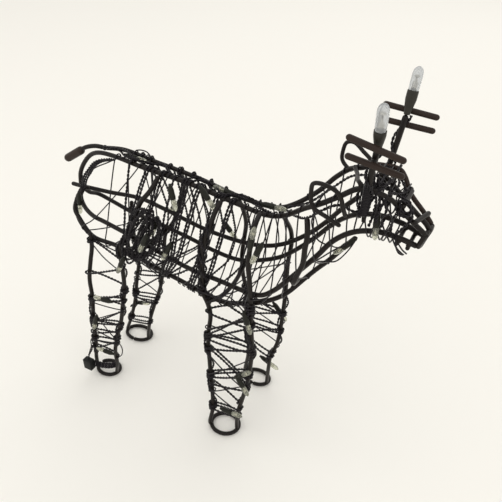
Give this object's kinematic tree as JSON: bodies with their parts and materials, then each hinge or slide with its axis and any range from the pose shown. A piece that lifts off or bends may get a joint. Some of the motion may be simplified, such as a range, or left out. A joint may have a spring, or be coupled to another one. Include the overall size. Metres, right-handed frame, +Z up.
{
  "type": "wire animal sculpture",
  "caption": "Small standing reindeer bent from welded steel wire, wound with a dark light string, with a lamp at the tip of each antler.",
  "frame": {"origin": "middle of the bounding box at the plane the feet stand on", "axes": "+Z up, +X the way the animal faces, +Y the animal's left side"},
  "size_m": [0.2828, 0.0852, 0.3036],
  "materials": {
    "wire_dark": "dark brown-black paint, satin",
    "wire_brown": "dark brown paint, satin",
    "cord_black": "flexible insulation, slightly purple black",
    "socket_dark": "moulded sockets, dark green-brown",
    "bulb_glass": "clear glass bulbs, faintly smoky"
  },
  "bodies": {
    "root": {"back_wire_right": "wire_dark", "back_wire_left": "wire_dark", "side_wire_right": "wire_dark", "side_wire_left": "wire_dark", "belly_wire_right": "wire_dark", "belly_wire_left": "wire_dark", "rump_bar": "wire_dark", "tail": "wire_brown", "tail_root": "wire_dark", "neck_hoop_right": "wire_dark", "collar": "wire_dark", "front_leg_wire_right_rear": "wire_dark", "front_leg_wire_right_front": "wire_dark", "front_leg_wire_left_rear": "wire_dark", "front_leg_wire_left_front": "wire_dark", "hind_leg_wire_right_rear": "wire_dark", "hind_leg_wire_right_front": "wire_dark", "hind_leg_wire_left_rear": "wire_dark", "hind_leg_wire_left_front": "wire_dark", "front_foot_right": "wire_dark", "front_foot_left": "wire_dark", "hind_foot_right": "wire_dark", "hind_foot_left": "wire_dark", "belly_hoop_front": "wire_dark", "belly_hoop_rear": "wire_dark", "muzzle_wire_left": "wire_brown", "muzzle_wire_right": "wire_dark", "forehead_wire": "wire_dark", "nose_loop": "wire_dark", "brow_bar": "wire_dark", "nose_bar": "wire_dark", "jaw_bar_rear": "wire_dark", "jaw_bar_front": "wire_dark", "ear_right": "wire_dark", "ear_left": "wire_dark", "antler_shaft_right": "wire_dark", "antler_tine_upper_right": "wire_brown", "antler_tine_lower_right": "wire_brown", "antler_shaft_left": "wire_dark", "antler_tine_upper_left": "wire_brown", "antler_tine_lower_left": "wire_brown", "antler_socket_right": "socket_dark", "antler_bulb_right": "bulb_glass", "antler_socket_left": "socket_dark", "antler_bulb_left": "bulb_glass", "string_front_leg_right": "cord_black", "string_front_leg_left": "cord_black", "string_hind_leg_right": "cord_black", "string_hind_leg_left": "cord_black", "string_trunk_rear": "cord_black", "string_trunk_front": "cord_black", "string_back": "cord_black", "string_end_block": "cord_black"}
  },
  "joints": []
}
